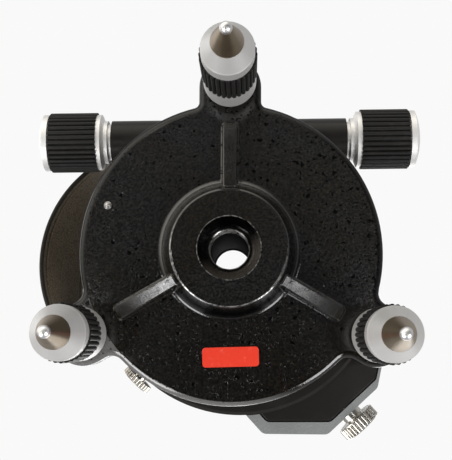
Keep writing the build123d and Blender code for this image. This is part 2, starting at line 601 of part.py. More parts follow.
with BuildPart() as thumb_screw:
    middle = box_point(0, SCREW_V, SCREW_Z)
    ring(1.9, 0, 56, 69, middle, BOX_DIR)
    turn([(0, 67.8), (3.9, 67.8), (3.9, 69.8), (3.1, 70.0), (3.1, 70.6), (7.0, 70.6), (7.0, 71.0), (0, 71.0)],
         middle, BOX_DIR)
    ribbed(Plane(origin=box_point(70.9, SCREW_V, SCREW_Z), z_dir=BOX_DIR), SCREW_HEAD_R, 0, 3.9, 30, 0.64)
    turn([(0, 74.7), (7.1, 74.7), (6.5, 75.2), (0, 75.2)], middle, BOX_DIR)
save(thumb_screw, "thumb_screw")

with BuildPart() as clamp_screw:
    ring(2.5, 0, 39.4, 54.5, CLAMP_C, CLAMP_DIR)
    head_start = tuple(c + 53.9 * d for c, d in zip(CLAMP_C, CLAMP_DIR))
    ribbed(Plane(origin=head_start, z_dir=CLAMP_DIR), CLAMP_HEAD_R, 0, 2.1, 26, 0.6)
    turn([(0, 55.9), (5.5, 55.9), (5.1, 56.4), (0, 56.4)], CLAMP_C, CLAMP_DIR)
save(clamp_screw, "clamp_screw")

# Leather hand strap between two lugs on the left wall


def strap_line(reach):
    """Plan points along one edge of the strap; reach 1 is the full bulge."""
    rear = polar(STRAP_R - STRAP_END_R, STRAP_TURN_REAR, STRAP_CENTRE)
    front = polar(STRAP_R - STRAP_END_R, STRAP_TURN_FRONT, STRAP_CENTRE)
    points = [polar(STRAP_END_R, a, rear) for a in (STRAP_LAST_REAR, 99, 128)]
    points += [polar(STRAP_R, a, STRAP_CENTRE) for a in (STRAP_TURN_REAR, 177, 197, 217, STRAP_TURN_FRONT)]
    points += [polar(STRAP_END_R, a, front) for a in (260, 285, STRAP_LAST_FRONT)]
    first = Vector(*points[0])
    chord = (Vector(*points[-1]) - first).normalized()
    placed = []
    for point in points:
        from_first = Vector(*point) - first
        along = chord * from_first.dot(chord)
        placed.append(first + along + (from_first - along) * reach)
    return placed


def strap_side(points, distance):
    """The same points moved sideways by distance."""
    moved = []
    for i, point in enumerate(points):
        ahead = points[min(i + 1, len(points) - 1)] - points[max(i - 1, 0)]
        moved.append(point + Vector(-ahead.Y, ahead.X).normalized() * distance)
    return moved


with BuildPart() as hand_strap:
    for z, reach in ((STRAP_Z, 1.0), (STRAP_TOP_Z, STRAP_TOP_REACH)):
        middle = strap_line(reach)
        outside = strap_side(middle, -STRAP_T / 2)
        inside = strap_side(middle, STRAP_T / 2)
        with BuildSketch(Plane.XY.offset(z)):
            with BuildLine():
                Spline(*outside)
                Line(outside[-1], inside[-1])
                Spline(*inside)
                Line(inside[0], outside[0])
            make_face()
    loft()
save(hand_strap, "hand_strap")

with BuildPart() as strap_lugs:
    for place, beside in ((0, 1), (-1, -2)):
        edges = [(strap_line(1.0)), (strap_line(STRAP_TOP_REACH))]
        end = edges[0][place]
        inward = (end - edges[0][beside] + end - edges[1][beside]).normalized()
        angle = degrees(atan2(inward.Y, inward.X))
        with Locations(Location((end.X, end.Y, (STRAP_Z + STRAP_TOP_Z) / 2), (0, 0, angle))):
            with Locations((3.5, 0, 0)):
                Box(17, 7, STRAP_TOP_Z - STRAP_Z + 4)
            with Locations((-2.4, 0, 0)):
                Box(5.2, 4.2, STRAP_TOP_Z - STRAP_Z + 6, mode=Mode.SUBTRACT)
            for z in (-6, 6):
                for y in (-3.7, 3.7):
                    with Locations(Location((-1.5, y, z), (90, 0, 0))):
                        Cylinder(1.5, 1.0)
    ring(HEAD_R, 0, STRAP_Z - 5, STRAP_TOP_Z + 5, HEAD_C, mode=Mode.SUBTRACT)
save(strap_lugs, "strap_lugs")

# Rotor, its bearings, drive and lantern
with BuildPart() as bearing_housing:
    turn([(BEARING_R, 66.5), (BEARING_SLEEVE_R, 66.5), (BEARING_SLEEVE_R, DECK_TOP_Z), (12.6, DECK_TOP_Z),
          (12.6, DECK_TOP_Z + 2), (BEARING_R, DECK_TOP_Z + 2)], ROTOR_C)
save(bearing_housing, "bearing_housing")

with BuildPart() as rotor_bearings:
    for z in (67.5, 80.5):
        ring(BEARING_R, ROTOR_SHAFT_R + RUNNING, z, z + 5, ROTOR_C)
        ring(7.1, 5.9, z - 1, z + 0.5, ROTOR_C, mode=Mode.SUBTRACT)
save(rotor_bearings, "rotor_bearings")

with BuildPart() as rotor_shaft:
    ring(ROTOR_SHAFT_R, BEAM_R, PULLEY_Z - 0.4, 96, ROTOR_C)
save(rotor_shaft, "rotor_shaft")

with BuildPart() as rotor_head:
    turn([(0, 90), (7.5, 90), (7.5, 94), (ROTOR_HEAD_R - 0.6, 94), (ROTOR_HEAD_R, 94.6),
          (ROTOR_HEAD_R, 115.4), (ROTOR_HEAD_R - 0.6, 116), (0, 116)], ROTOR_C)
    with Locations((0, ROTOR_Y, 105)):
        Box(2 * PRISM_HALF + 0.2, 40, 16, mode=Mode.SUBTRACT)
    ring(ROTOR_SHAFT_R, 0, 89, 96, ROTOR_C, mode=Mode.SUBTRACT)
    ring(BEAM_R, 0, 95, 98, ROTOR_C, mode=Mode.SUBTRACT)
save(rotor_head, "rotor_head")

with BuildPart() as penta_prism:
    with BuildSketch(Plane(origin=(-PRISM_HALF, ROTOR_Y, 97), x_dir=(0, 1, 0), z_dir=(1, 0, 0))):
        with BuildLine():
            Polyline((4.5, 0), (-4.5, 0), (-7.6, 7.5), (-3.0, 12.1), (4.5, 9), close=True)
        make_face()
    extrude(amount=2 * PRISM_HALF)
save(penta_prism, "penta_prism")

with BuildPart() as rotor_pulley:
    turn([(ROTOR_SHAFT_R, PULLEY_Z), (9.4, PULLEY_Z), (9.4, PULLEY_Z + 1.2),
          (ROTOR_PULLEY_R, PULLEY_Z + 1.2), (ROTOR_PULLEY_R, PULLEY_Z + 4.8), (9.4, PULLEY_Z + 4.8),
          (9.4, PULLEY_Z + 6), (ROTOR_SHAFT_R, PULLEY_Z + 6)], ROTOR_C)
save(rotor_pulley, "rotor_pulley")

with BuildPart() as motor_pulley:
    turn([(0, 47), (1, 47), (1, PULLEY_Z), (6, PULLEY_Z), (6, PULLEY_Z + 1.2),
          (MOTOR_PULLEY_R, PULLEY_Z + 1.2), (MOTOR_PULLEY_R, PULLEY_Z + 4.8), (6, PULLEY_Z + 4.8),
          (6, PULLEY_Z + 6), (0, PULLEY_Z + 6)], (*MOTOR_XY, 0))
save(motor_pulley, "motor_pulley")

with BuildPart() as motor:
    turn([(0, 45), (8.4, 45), (9, 45.6), (9, PLATE_LOW_Z), (3, PLATE_LOW_Z), (3, DRUM_TOP_Z),
          (1 + RUNNING, DRUM_TOP_Z), (1 + RUNNING, 46.5), (0, 46.5)], (*MOTOR_XY, 0))
save(motor, "motor")

with BuildPart() as drive_belt:
    with BuildSketch(Plane.XY.offset(PULLEY_Z + 1.6)):
        for grow, mode in ((1.3, Mode.ADD), (0.35, Mode.SUBTRACT)):
            with BuildSketch(mode=mode):
                with Locations((0, ROTOR_Y)):
                    Circle(ROTOR_PULLEY_R + grow)
                with Locations(MOTOR_XY):
                    Circle(MOTOR_PULLEY_R + grow)
                make_hull()
    extrude(amount=2.8)
save(drive_belt, "drive_belt")

with BuildPart() as laser_module:
    turn([(0, 42), (6.2, 42), (7, 42.8), (7, 52), (9.5, 52), (9.5, PLATE_LOW_Z), (7, PLATE_LOW_Z),
          (7, DRUM_TOP_Z), (2.5, DRUM_TOP_Z), (2.5, DRUM_TOP_Z - 3), (0, DRUM_TOP_Z - 3)], ROTOR_C)
save(laser_module, "laser_module")

with BuildPart() as lantern_base:
    turn([(13, DECK_TOP_Z), (LANTERN_R + 0.6, DECK_TOP_Z), (LANTERN_R + 0.6, 87.4), (LANTERN_R, 88),
          (LANTERN_R, 92), (GLASS_R + 0.1, 92), (GLASS_R + 0.1, GLASS_Z), (13, GLASS_Z)], ROTOR_C)
    for angle in (30, 150, 270):
        x, y = polar(16.05, angle, (0, ROTOR_Y))
        ring(0.8, 0, 91.5, GLASS_TOP_Z - 1, (x, y, 0))
save(lantern_base, "lantern_base")

with BuildPart() as lantern_glass:
    ring(GLASS_R, GLASS_R - GLASS_WALL, GLASS_Z, GLASS_TOP_Z, ROTOR_C)
save(lantern_glass, "lantern_glass")

with BuildPart() as lantern_cap:
    turn([(0, GLASS_TOP_Z), (GLASS_R + 0.1, GLASS_TOP_Z), (GLASS_R + 0.1, GLASS_TOP_Z - 1),
          (LANTERN_R, GLASS_TOP_Z - 1), (LANTERN_R, 127.5), (15.4, 130.3), (11, 131.8), (0, LANTERN_TOP_Z)],
         ROTOR_C)
save(lantern_cap, "lantern_cap")

# Controls and circular level
for name, (x, y) in BUTTON_XY.items():
    with BuildPart() as button:
        turn([(0, 77), (2, 77), (2, 81.4), (5.6, 81.4), (5.6, DECK_Z - 0.1), (BUTTON_R, DECK_Z - 0.1),
              (BUTTON_R, 87.4), (BUTTON_R - 0.6, 88), (0, 88)], (x, y, 0))
    save(button, name)

with BuildPart() as status_lamp:
    turn([(0, BOARD_Z + 1.6), (2, BOARD_Z + 1.6), (2, DECK_TOP_Z), (1.7, DECK_TOP_Z + 0.7),
          (0.9, DECK_TOP_Z + 1.2), (0, DECK_TOP_Z + 1.3)], (*LAMP_XY, 0))
save(status_lamp, "status_lamp")

with BuildPart() as circuit_board:
    with BuildSketch(Plane.XY.offset(BOARD_Z)):
        with Locations((0, -27.5)):
            RectangleRounded(36, 17, 1.5)
    extrude(amount=1.6)
    for x, y, w, d, h in ((-6, -28, 9, 9, 1.6), (8, -25, 6, 4, 1.8), (10, -32, 5, 5, 2.4)):
        with Locations((x, y, BOARD_Z - h / 2)):
            Box(w, d, h)
save(circuit_board, "circuit_board")

VIAL_C = (*VIAL_XY, 0)

with BuildPart() as vial_holder:
    turn([(0, DECK_TOP_Z), (11, DECK_TOP_Z), (11, 90.5), (9.8, 92), (8.6, 92), (8.6, 87.6), (0, 87.6)],
         VIAL_C)
save(vial_holder, "vial_holder")

with BuildPart() as vial_glass:
    turn([(0, 87.6), (8.6, 87.6), (8.6, 91), (6, 91.5), (0, 91.7)], VIAL_C)
save(vial_glass, "vial_glass")
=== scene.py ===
import bpy
import json
from math import ceil, cos, pi, radians, sin
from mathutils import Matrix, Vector

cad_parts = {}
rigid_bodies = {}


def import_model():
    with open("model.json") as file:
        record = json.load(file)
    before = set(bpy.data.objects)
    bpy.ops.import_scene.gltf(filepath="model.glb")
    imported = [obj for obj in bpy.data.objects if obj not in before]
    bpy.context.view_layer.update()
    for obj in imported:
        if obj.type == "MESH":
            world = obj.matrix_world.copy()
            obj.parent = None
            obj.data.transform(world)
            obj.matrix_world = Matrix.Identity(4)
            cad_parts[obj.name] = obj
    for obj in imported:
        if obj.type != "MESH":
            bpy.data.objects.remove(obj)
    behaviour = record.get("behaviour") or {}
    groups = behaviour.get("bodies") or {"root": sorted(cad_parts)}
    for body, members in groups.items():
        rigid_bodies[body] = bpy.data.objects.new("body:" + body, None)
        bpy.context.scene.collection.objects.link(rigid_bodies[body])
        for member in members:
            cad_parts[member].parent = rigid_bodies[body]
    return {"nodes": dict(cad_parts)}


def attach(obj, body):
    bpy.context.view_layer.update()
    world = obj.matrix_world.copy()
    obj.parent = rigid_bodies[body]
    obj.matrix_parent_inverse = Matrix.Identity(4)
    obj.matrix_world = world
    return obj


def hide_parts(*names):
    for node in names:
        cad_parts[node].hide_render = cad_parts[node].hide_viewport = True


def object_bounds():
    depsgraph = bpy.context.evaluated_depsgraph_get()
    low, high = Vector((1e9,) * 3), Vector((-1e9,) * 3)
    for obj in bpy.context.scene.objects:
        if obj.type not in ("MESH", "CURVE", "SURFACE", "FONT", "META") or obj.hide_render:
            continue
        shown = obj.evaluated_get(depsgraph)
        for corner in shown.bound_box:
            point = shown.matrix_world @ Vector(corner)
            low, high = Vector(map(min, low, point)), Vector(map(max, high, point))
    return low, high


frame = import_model()
cad_low, cad_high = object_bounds()
nodes = frame["nodes"]
MM = 0.001

# Heights of the frame, in metres, where the tripod thread begins at zero
PLATE_Z = 2.3 * MM
BOSS_FACE_Z = -6.5 * MM
MOUTH_Z = -0.7 * MM
BUSH_TOP_Z = 12.2 * MM
RING_BEVEL_Z = 20.4 * MM
FOOT_BALL_Z = -62.5 * MM
BUBBLE_Z = 86.5 * MM
VIAL_RING_Z = 87.22 * MM

# Radii round the vertical axis, from the thread outwards
THREAD_CREST_R = 7.0 * MM
SINK_R = 11.0 * MM
BOSS_R = 20.15 * MM
COVE_R = 22.6 * MM
RIB_START_R = 23.5 * MM
PLATE_START_R = 25.2 * MM
RIM_START_R = 51.7 * MM
RING_BEVEL_R = 51.7 * MM
RING_TICK_R = 52.7 * MM
RING_R = 54.4 * MM

# Places in plan
RIM_CENTRE = (0.4 * MM, 0.7 * MM, 0)
STATUS_LAMP_CENTRE = (0, -35 * MM, 0)


class Wire:
    """An output of a finish; arithmetic on it adds Math nodes."""

    def __init__(self, finish, socket):
        self.finish = finish
        self.socket = socket

    def math(self, operation, *values):
        return self.finish.node("ShaderNodeMath", {"operation": operation}, dict(enumerate(values)))

    def __add__(self, other):
        return self.math("ADD", self, other)

    def __radd__(self, other):
        return self.math("ADD", other, self)

    def __sub__(self, other):
        return self.math("SUBTRACT", self, other)

    def __rsub__(self, other):
        return self.math("SUBTRACT", other, self)

    def __mul__(self, other):
        return self.math("MULTIPLY", self, other)

    def __rmul__(self, other):
        return self.math("MULTIPLY", other, self)

    def __truediv__(self, other):
        return self.math("DIVIDE", self, other)

    def __pow__(self, other):
        return self.math("POWER", self, other)

    def __gt__(self, other):
        return self.math("GREATER_THAN", self, other)

    def __lt__(self, other):
        return self.math("LESS_THAN", self, other)

    def __abs__(self):
        return self.math("ABSOLUTE", self)

    def most(self, other):
        return self.math("MAXIMUM", self, other)


class Finish:
    """A material on Object coordinates, with its shader's sockets set by name."""

    def __init__(self, name):
        self.material = bpy.data.materials.new(name)
        self.material.use_nodes = True
        self.tree = self.material.node_tree
        self.shader = self.tree.nodes["Principled BSDF"]
        self.place = self.node("ShaderNodeTexCoord", out="Object")

    def node(self, kind, settings=None, sockets=None, out=0):
        """Add a node: settings first, then values or links of its sockets."""
        made = self.tree.nodes.new(kind)
        for key, value in (settings or {}).items():
            setattr(made, key, value)
        for key, value in (sockets or {}).items():
            if isinstance(value, Wire):
                self.tree.links.new(value.socket, made.inputs[key])
            else:
                made.inputs[key].default_value = value
        return Wire(self, made.outputs[out])

    def set(self, **sockets):
        """Set or link the shader's sockets; spaces are written as underscores."""
        for key, value in sockets.items():
            target = self.shader.inputs[key.replace("_", " ")]
            if isinstance(value, Wire):
                self.tree.links.new(value.socket, target)
            else:
                target.default_value = value
        return self

    def centred(self, centre):
        """Object coordinates counted from a point."""
        return self.node("ShaderNodeMapping", None, {
            "Vector": self.place, "Location": [-c for c in centre]})

    def split(self, vector=None):
        """The x, y and z of a vector."""
        made = self.node("ShaderNodeSeparateXYZ", None, {"Vector": vector or self.place})
        return [Wire(self, s) for s in made.socket.node.outputs]

    def radius(self, x, y):
        """Distance from the vertical axis."""
        return (x * x + y * y) ** 0.5

    def noise(self, scale, detail=3.0, rough=0.55):
        """Cloudy pattern with that many clouds to the metre."""
        return self.node("ShaderNodeTexNoise", None, {
            "Vector": self.place, "Scale": scale, "Detail": detail, "Roughness": rough})

    def lines(self, along, per_metre, detail=2.0):
        """Fine turned lines along one coordinate."""
        return self.node("ShaderNodeTexNoise", {"noise_dimensions": "1D"}, {
            "W": along * per_metre, "Scale": 1.0, "Detail": detail})

    def step(self, value, low, high):
        """0 below low, 1 above high, and smooth between them."""
        return self.node("ShaderNodeMapRange", {"interpolation_type": "SMOOTHSTEP"}, {
            "Value": value, "From Min": low, "From Max": high})

    def band(self, value, middle, half):
        """1 at the middle, falling to 0 at half either side."""
        return 1 - self.step(abs(value - middle), 0.0, half)

    def pits(self, per_metre, share, least, most):
        """Ragged pits in plan: a share of the cells has one, its radius given in cells."""
        ragged = self.node("ShaderNodeTexNoise", None, {
            "Vector": self.place, "Scale": 1.6 * per_metre}, out="Color")
        warped = self.node("ShaderNodeVectorMath", {"operation": "MULTIPLY_ADD"}, {
            0: ragged, 1: [0.9 / per_metre] * 3, 2: self.place})
        cells = self.node("ShaderNodeTexVoronoi", {"voronoi_dimensions": "2D"}, {
            "Vector": warped, "Scale": per_metre})
        chance, size, _ = self.split(Wire(self, cells.socket.node.outputs["Color"]))
        edge = (least + (most - least) * size) * (chance < share)
        return 1 - self.step(cells, 0.7 * edge, edge + 0.0001)

    def over(self, share, colour):
        """Lay a dull colour over the finish by a share."""
        dull = self.node("ShaderNodeBsdfDiffuse", None, {"Color": colour})
        self.show(share, Wire(self, self.shader.outputs[0]), dull)
        return self

    def show(self, share, first, second):
        """Make a blend of two shaders the surface."""
        both = self.node("ShaderNodeMixShader", None, {0: share, 1: first, 2: second})
        self.tree.links.new(both.socket, self.tree.nodes["Material Output"].inputs["Surface"])

    def mix(self, share, first, second):
        """Blend two colours."""
        return self.node("ShaderNodeMix", {"data_type": "RGBA"}, {0: share, 6: first, 7: second}, out=2)

    def bump(self, height, depth, strength=1.0, under=None):
        """A normal from a height field of that depth in metres."""
        sockets = {"Strength": strength, "Distance": depth, "Height": height}
        if under:
            sockets["Normal"] = under
        return self.node("ShaderNodeBump", None, sockets)


class Sky(Finish):
    """A world's nodes, on the direction looked in."""

    def __init__(self, world):
        world.use_nodes = True
        self.tree = world.node_tree
        self.shader = self.tree.nodes["Background"]
        self.place = self.node("ShaderNodeTexCoord", out="Generated")


def grey(value, warm=0.0):
    """A linear grey; warm above zero tends to brown."""
    return (value * (1 + warm), value, value * (1 - warm), 1.0)


# Finishes


def pitted_enamel():
    """Gloss black stove enamel over a pitted sand casting; bare metal at the rear of the boss and on the
    rear rim, partly rubbed wear and partly painted highlight; painted shade in the pits, the cove and
    along the front rim.
    """
    f = Finish("black_enamel_pitted")
    x, y, z = f.split()
    r = f.radius(x, y)
    rim_x, rim_y, _ = f.split(f.centred(RIM_CENTRE))
    rim_r = f.radius(rim_x, rim_y)
    skin = f.noise(620.0, 4.0, rough=0.65)
    grain = f.noise(900.0, 4.0, rough=0.75)
    fine = f.noise(1500.0, 3.0, rough=0.7)

    # Pits of the mould under the plate, thickest at the front right
    front_right = f.step((0.62 * x - 0.78 * y) / r, 0.15, 0.75)
    spread = f.step(f.noise(36.0, 2.0) + 0.16 * front_right, 0.40, 0.66)
    under = (r > PLATE_START_R) * (abs(z - PLATE_Z) < 0.3 * MM)
    large = f.pits(350.0, 0.08 + 0.62 * spread, 0.13, 0.30)
    small = f.pits(760.0, 0.12 + 0.42 * spread, 0.16, 0.36)
    pits = large.most(small) * under

    # Edges bared to bright metal. The mouth of the sink is rubbed wear. The rear of the boss and the
    # rear rim are partly wear and partly painted highlight, set on the side where highlights fall.
    rub = f.step(f.noise(900.0, 5.0, rough=0.7), 0.42, 0.66)
    rear = f.step(y - 0.25 * x, -9 * MM, 9 * MM)
    sides = 0.45 + 0.55 * f.step(abs(x), 5 * MM, 13 * MM)
    boss_rim = f.band(r, BOSS_R, 0.36 * MM) * (z < BOSS_FACE_Z + 0.8 * MM) * rear * sides
    sink_rim = f.band(r, SINK_R + 0.05 * MM, 0.26 * MM) * (z < BOSS_FACE_Z + 0.3 * MM)
    rear_left = f.step((0.91 * y - 0.42 * x) / r, 0.62, 0.90)
    rim = f.step(rim_r, RIM_START_R, RIM_START_R + 0.4 * MM) * (z < PLATE_Z + 1.6 * MM) * rear_left
    wear_and_highlight = boss_rim * (0.10 + 0.75 * rub) + sink_rim * 0.45 * rub
    wear_and_highlight = wear_and_highlight + rim * (0.03 + 0.22 * f.lines(rim_r, 4200.0))
    metal = f.mix(f.noise(700.0), grey(0.55, 0.02), grey(0.85, 0.02))

    # Paint: grey and brown patches, darker and browner at the rear as painted shade, grain, specks, and
    # the sink painted lighter on one side as painted light
    patch = f.step(f.noise(22.0, 3.0), 0.42, 0.62)
    specks = f.step(f.noise(1700.0, 2.0), 0.70, 0.78)
    paint = f.mix(patch, grey(0.0135, 0.02), grey(0.0095, 0.28))
    # Darker, browner rear half: painted shade
    paint = f.mix(f.step(y, 8 * MM, 34 * MM) * 0.6, paint, grey(0.0045, 0.35))
    paint = f.mix(f.step(0.3 * grain + 0.7 * fine, 0.41, 0.62), grey(0.0018), paint)
    paint = f.mix(specks * 0.8, paint, grey(0.100, 0.03))
    # The sink's rear half is painted lighter as painted light, and the rest near-black as painted shade
    sink = (r < SINK_R) * (z > BOSS_FACE_Z + 0.1 * MM)
    sink_painted_light = f.step(y + 0.5 * x, -2 * MM, 7 * MM)
    paint = f.mix(sink, paint, f.mix(sink_painted_light, grey(0.0002), grey(0.034, 0.14)))

    # Ribs with a wavy top that dulls outwards
    on_rib = (r > RIB_START_R) * (z < PLATE_Z - 2.2 * MM)
    wavy = f.bump(f.noise(150.0, 3.0) * on_rib, 0.4 * MM, 0.6)
    dull = on_rib * f.step(r, 23 * MM, 46 * MM)

    f.set(Base_Color=f.mix(wear_and_highlight, paint, metal), Metallic=wear_and_highlight,
          Roughness=0.06 + 0.09 * skin + 0.12 * wear_and_highlight + 0.30 * dull, Specular_IOR_Level=0.75,
          Normal=f.bump(skin * 0.7 + grain * 0.6 - pits * 0.7, 0.08 * MM, 0.6, wavy))

    # Painted shade: dull black laid in the pits, in the cove behind the boss and along the front rim
    # fillets, hiding their gloss
    cove_painted_shade = f.band(r, COVE_R, 2.4 * MM) * f.step(y - 0.4 * abs(x), 0, 12 * MM)
    edge = (z > PLATE_Z + 0.05 * MM) * (z < PLATE_Z + 3 * MM) * (1 - f.step(y, 22 * MM, 36 * MM))
    painted_shade = (pits * 0.82).most(cove_painted_shade * 0.85 + edge * 0.55)
    return f.over(painted_shade, grey(0.0002)).material


def smooth_enamel():
    """Gloss black stove enamel over a machined casting."""
    f = Finish("black_enamel_smooth")
    peel = f.noise(700.0, 2.0)
    dust = f.step(f.noise(3200.0, 2.0), 0.62, 0.75)
    smear = f.step(f.noise(45.0, 4.0), 0.45, 0.7)
    paint = f.mix(dust * 0.3, f.mix(smear, grey(0.009, 0.1), grey(0.013, 0.16)), grey(0.05))
    return f.set(Base_Color=paint, Roughness=0.30 + 0.14 * smear, Specular_IOR_Level=0.2,
                 Normal=f.bump(peel, 0.02 * MM, 0.5)).material


def hammered_grey():
    """Mid-grey enamel with a fine hammered skin."""
    f = Finish("grey_enamel_hammered")
    cells = f.node("ShaderNodeTexVoronoi", {"feature": "SMOOTH_F1"}, {
        "Vector": f.place, "Scale": 820.0, "Smoothness": 0.6})
    fleck = f.step(f.noise(2400.0, 3.0), 0.45, 0.7)
    smear = f.step(f.noise(38.0, 4.0), 0.4, 0.72)
    paint = f.mix(smear, (0.190, 0.198, 0.196, 1), (0.148, 0.154, 0.152, 1))
    paint = f.mix(fleck * 0.35, paint, (0.28, 0.290, 0.285, 1))
    return f.set(Base_Color=paint, Metallic=0.15, Roughness=0.34 + 0.16 * fleck,
                 Normal=f.bump(cells, 0.12 * MM, 0.55)).material


def spindle_black():
    """Dull oil-black bore of the vertical axis, with a near-black dull layer over most of it as painted
    shade in the deep bore.
    """
    f = Finish("spindle_black")
    smear = f.noise(240.0, 4.0)
    f.set(Base_Color=f.mix(smear, grey(0.0015), grey(0.004, 0.1)), Roughness=0.62 + 0.2 * smear,
          Specular_IOR_Level=0.06, Normal=f.bump(f.noise(1200.0), 0.03 * MM, 0.5))
    # Near-black dull layer over most of it: painted shade in the deep bore
    return f.over(0.7, grey(0.003)).material


def dark_steel(name, knurl_radius=None):
    """Blackened steel; a knurl radius gives rubbed tips and a degree scale on the bevel above them."""
    f = Finish(name)
    x, y, z = f.split()
    r = f.radius(x, y)
    turned = f.lines(r, 9000.0) * 0.5 + f.lines(z, 9000.0) * 0.5
    mottle = f.noise(260.0, 4.0)
    steel = f.mix(mottle, grey(0.018), grey(0.035, 0.06))
    if knurl_radius:
        rub = f.step(f.noise(900.0, 4.0), 0.48, 0.7) * f.step(r, knurl_radius - 0.4 * MM, knurl_radius)
        steel = f.mix(rub * 0.3, steel, grey(0.25, 0.03))
        degrees = y.math("ARCTAN2", y, x) * (180 / pi)
        on_bevel = f.step(z, RING_BEVEL_Z - 0.1 * MM, RING_BEVEL_Z + 0.1 * MM) * (r > RING_BEVEL_R)
        off_tick = abs(degrees.math("FRACT", degrees + 0.5) - 0.5)
        off_long = abs(degrees.math("FRACT", degrees * 0.1 + 0.5) - 0.5)
        ticks = (1 - f.step(off_tick, 0.1, 0.16)) * (r > RING_TICK_R)
        long_ticks = 1 - f.step(off_long, 0.012, 0.018)
        marks = on_bevel * ticks.most(long_ticks)
        steel = f.mix(marks, steel, grey(0.72, 0.02))
        f.set(Metallic=0.5 - 0.5 * marks, Specular_IOR_Level=0.2)
    else:
        f.set(Metallic=0.9)
    return f.set(Base_Color=steel, Roughness=0.30 + 0.18 * mottle,
                 Normal=f.bump(turned, 0.02 * MM, 0.6)).material


def satin_aluminium(name, axis, level):
    """Satin clear-anodised aluminium with fine turned lines along an axis (0 for x, 2 for z)."""
    f = Finish(name)
    along = f.split()[axis]
    turned = f.lines(along, 9000.0)
    broad = f.lines(along, 2400.0, 3.0)
    smudge = f.step(f.noise(120.0, 5.0), 0.46, 0.75)
    metal = f.mix(smudge * 0.5, grey(level, 0.012), grey(0.88 * level, 0.03))
    metal = f.mix(broad * 0.3, metal, grey(0.80 * level, 0.02))
    return f.set(Base_Color=metal, Metallic=0.72, Roughness=0.46 + 0.10 * turned + 0.06 * smudge,
                 Normal=f.bump(turned + broad, 0.012 * MM, 0.5)).material


def turned_steel(name, axis, tip_z=None):
    """Turned steel with tool lines; below tip_z a ball painted bright, partly rubbed metal and partly
    painted highlight, on a straw-coloured cone.
    """
    f = Finish(name)
    along = f.split()[axis]
    turned = f.lines(along, 5200.0, 3.0)
    tarnish = f.step(f.noise(150.0, 4.0), 0.4, 0.7)
    if tip_z:
        metal = f.mix(tarnish, (0.262, 0.205, 0.138, 1), (0.215, 0.162, 0.103, 1))
        metal = f.mix(turned * 0.3, metal, (0.33, 0.285, 0.225, 1))
        # Bright ball tip: partly rubbed metal, partly painted highlight
        ball_rub_and_highlight = f.step(along, tip_z, tip_z - 0.5 * MM)
        metal = f.mix(ball_rub_and_highlight, metal, grey(0.72, 0.01))
        rough = 0.34 + 0.12 * turned
    else:
        metal = f.mix(tarnish, grey(0.36, 0.07), grey(0.27, 0.12))
        metal = f.mix(turned * 0.3, metal, grey(0.44, 0.05))
        rough = 0.26 + 0.16 * turned
    return f.set(Base_Color=metal, Metallic=1.0, Roughness=rough,
                 Normal=f.bump(turned, 0.02 * MM, 0.6)).material


def moulded_rubber():
    """Black rubber with a fine moulded grain and a little dust."""
    f = Finish("black_rubber")
    grain = f.noise(2100.0, 3.0)
    dust = f.step(f.noise(420.0, 5.0), 0.5, 0.75)
    rubber = f.mix(dust * 0.5, grey(0.0085, 0.06), grey(0.024, 0.10))
    return f.set(Base_Color=rubber, Roughness=0.46 + 0.2 * grain, Specular_IOR_Level=0.27,
                 Normal=f.bump(grain, 0.04 * MM, 0.6)).material


def plated(name, colour, dark, rough, scratch=1800.0):
    """Bright plated or plain turned metal with scratches and a dull bloom."""
    f = Finish(name)
    bloom = f.step(f.noise(210.0, 5.0), 0.42, 0.72)
    x, y, z = f.split()
    scratches = f.lines(x + 0.7 * y + 0.4 * z, scratch, 4.0)
    metal = f.mix(bloom * 0.6, colour, dark)
    return f.set(Base_Color=metal, Metallic=1.0, Roughness=rough + 0.12 * bloom + 0.06 * scratches,
                 Normal=f.bump(scratches, 0.01 * MM, 0.5)).material


def thread_steel():
    """Oil-black bush with the crests of its thread rubbed bright."""
    f = Finish("thread_steel")
    x, y, z = f.split()
    r = f.radius(x, y)
    oil = f.noise(420.0, 4.0)
    rubbed = f.step(f.noise(500.0, 4.0), 0.36, 0.6)
    crest = (1 - f.step(r, THREAD_CREST_R, THREAD_CREST_R + 0.3 * MM)) * rubbed
    metal = f.mix(crest, f.mix(oil, grey(0.006), grey(0.02, 0.05)), grey(0.42, 0.03))
    return f.set(Base_Color=metal, Metallic=1.0, Roughness=0.20 + 0.16 * oil,
                 Normal=f.bump(f.lines(z, 6000.0), 0.01 * MM, 0.5)).material


def sticker_film():
    """Red-orange printed film, a little rubbed and dusty."""
    f = Finish("label_film")
    wear = f.step(f.noise(600.0, 5.0), 0.55, 0.75)
    film = f.mix(f.noise(90.0, 3.0), (0.66, 0.033, 0.0112, 1), (0.60, 0.027, 0.0092, 1))
    film = f.mix(wear * 0.12, film, (0.85, 0.30, 0.24, 1))
    return f.set(Base_Color=film, Roughness=0.42 + 0.12 * wear, Specular_IOR_Level=0.3,
                 Normal=f.bump(f.noise(400.0), 0.02 * MM, 0.4)).material


def clear_glass():
    """Clear lantern and prism glass with a faint wipe mark in its gloss."""
    f = Finish("clear_glass")
    wipe = f.step(f.noise(60.0, 3.0), 0.45, 0.7)
    return f.set(Base_Color=(0.95, 0.98, 0.97, 1), Roughness=0.02 + 0.03 * wipe, IOR=1.47,
                 Transmission_Weight=1.0).material


def vial_fluid():
    """Yellow-green spirit under a clear crown."""
    f = Finish("vial_fluid")
    cloud = f.noise(140.0, 2.0)
    tint = f.mix(cloud, (0.62, 0.80, 0.10, 1), (0.70, 0.86, 0.16, 1))
    return f.set(Base_Color=tint, Roughness=0.03 + 0.02 * cloud, IOR=1.36,
                 Transmission_Weight=0.75).material


